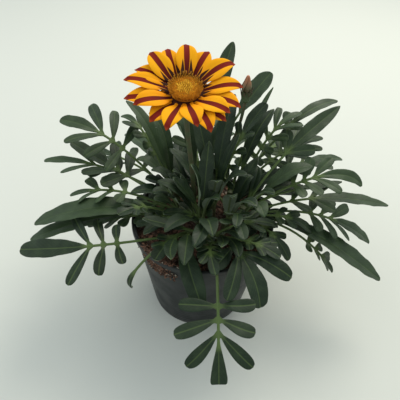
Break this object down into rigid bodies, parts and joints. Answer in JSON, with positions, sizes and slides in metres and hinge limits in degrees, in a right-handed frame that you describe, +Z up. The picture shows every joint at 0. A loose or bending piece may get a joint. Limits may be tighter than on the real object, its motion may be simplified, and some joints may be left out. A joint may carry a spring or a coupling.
{
  "type": "potted gazania",
  "caption": "Bushy treasure flower in a round nursery pot: lobed and whole leaves, one open striped bloom and one closed bud.",
  "frame": {"origin": "middle of the pot's underside, on the surface that it stands on", "axes": "+Z up along the pot's axis; -Y towards the side that the bloom leans and faces to"},
  "size_m": [0.3212, 0.3015, 0.2546],
  "materials": {
    "pot": "dark grey moulded plastic, satin",
    "soil": "crumbly brown bark and peat",
    "leaf": "dark green and slightly glossy above, pale grey felt below",
    "stalk": "fleshy green, flushed with red brown",
    "ray_petal": "silky golden yellow with a dark red middle stripe",
    "disc": "velvety orange ochre",
    "bud_petal": "orange red, matt"
  },
  "bodies": {
    "root": {"pot": "pot", "soil": "soil", "shoot_front": "leaf", "shoot_front_right": "leaf", "shoot_left": "leaf", "shoot_right": "leaf", "shoot_back_left": "leaf", "shoot_back_right": "leaf", "shoot_inner_left": "leaf", "shoot_inner_right": "leaf", "shoot_centre": "leaf", "shoot_middle_left": "leaf", "shoot_middle_right": "leaf", "shoot_back": "leaf", "flower_stalk": "stalk", "ray_florets": "ray_petal", "disc_florets": "disc", "bud_stalk": "stalk", "bud_petals": "bud_petal"}
  },
  "joints": []
}
